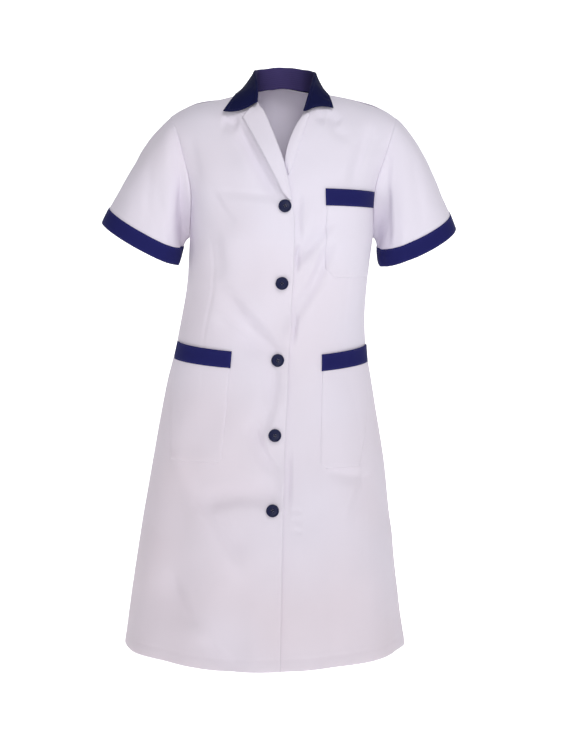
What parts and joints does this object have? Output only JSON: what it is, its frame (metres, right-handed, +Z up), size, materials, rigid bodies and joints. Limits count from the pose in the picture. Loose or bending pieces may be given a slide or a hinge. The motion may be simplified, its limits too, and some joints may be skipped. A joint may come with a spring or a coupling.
{
  "type": "work tunic",
  "caption": "Knee-length short-sleeved work tunic, hollow as worn: white cloth buttoned down the front, navy notched collar, cuffs and banded patch pockets.",
  "frame": {"origin": "midway between the two side neck points, level with them, where the wearer's shoulders hold the tunic", "axes": "+Z up along the body, +Y out of the wearer's back, +X towards the wearer's left"},
  "size_m": [0.6119, 0.3551, 1.0076],
  "materials": {
    "white_front_right": "plain-weave poly-cotton",
    "white_front_left": "plain-weave poly-cotton",
    "white_back": "plain-weave poly-cotton",
    "white_sleeve_right": "plain-weave poly-cotton",
    "white_sleeve_left": "plain-weave poly-cotton",
    "navy_cuff_right": "plain-weave poly-cotton",
    "navy_cuff_left": "plain-weave poly-cotton",
    "navy_collar": "plain-weave poly-cotton, stiffened",
    "white_lapel_right": "plain-weave poly-cotton",
    "white_lapel_left": "plain-weave poly-cotton",
    "white_pocket_chest": "plain-weave poly-cotton",
    "navy_band_chest": "plain-weave poly-cotton",
    "white_pocket_hip_right": "plain-weave poly-cotton",
    "navy_band_hip_right": "plain-weave poly-cotton",
    "white_pocket_hip_left": "plain-weave poly-cotton",
    "navy_band_hip_left": "plain-weave poly-cotton",
    "button_navy_1": "moulded, soft gloss",
    "button_navy_2": "moulded, soft gloss",
    "button_navy_3": "moulded, soft gloss",
    "button_navy_4": "moulded, soft gloss",
    "button_navy_5": "moulded, soft gloss"
  },
  "bodies": {
    "root": {"front_right": "white_front_right", "front_left": "white_front_left", "back": "white_back", "sleeve_right": "white_sleeve_right", "sleeve_left": "white_sleeve_left", "cuff_right": "navy_cuff_right", "cuff_left": "navy_cuff_left", "collar": "navy_collar", "lapel_right": "white_lapel_right", "lapel_left": "white_lapel_left", "pocket_chest": "white_pocket_chest", "band_chest": "navy_band_chest", "pocket_hip_right": "white_pocket_hip_right", "band_hip_right": "navy_band_hip_right", "pocket_hip_left": "white_pocket_hip_left", "band_hip_left": "navy_band_hip_left", "button_1": "button_navy_1", "button_2": "button_navy_2", "button_3": "button_navy_3", "button_4": "button_navy_4", "button_5": "button_navy_5"}
  },
  "joints": []
}
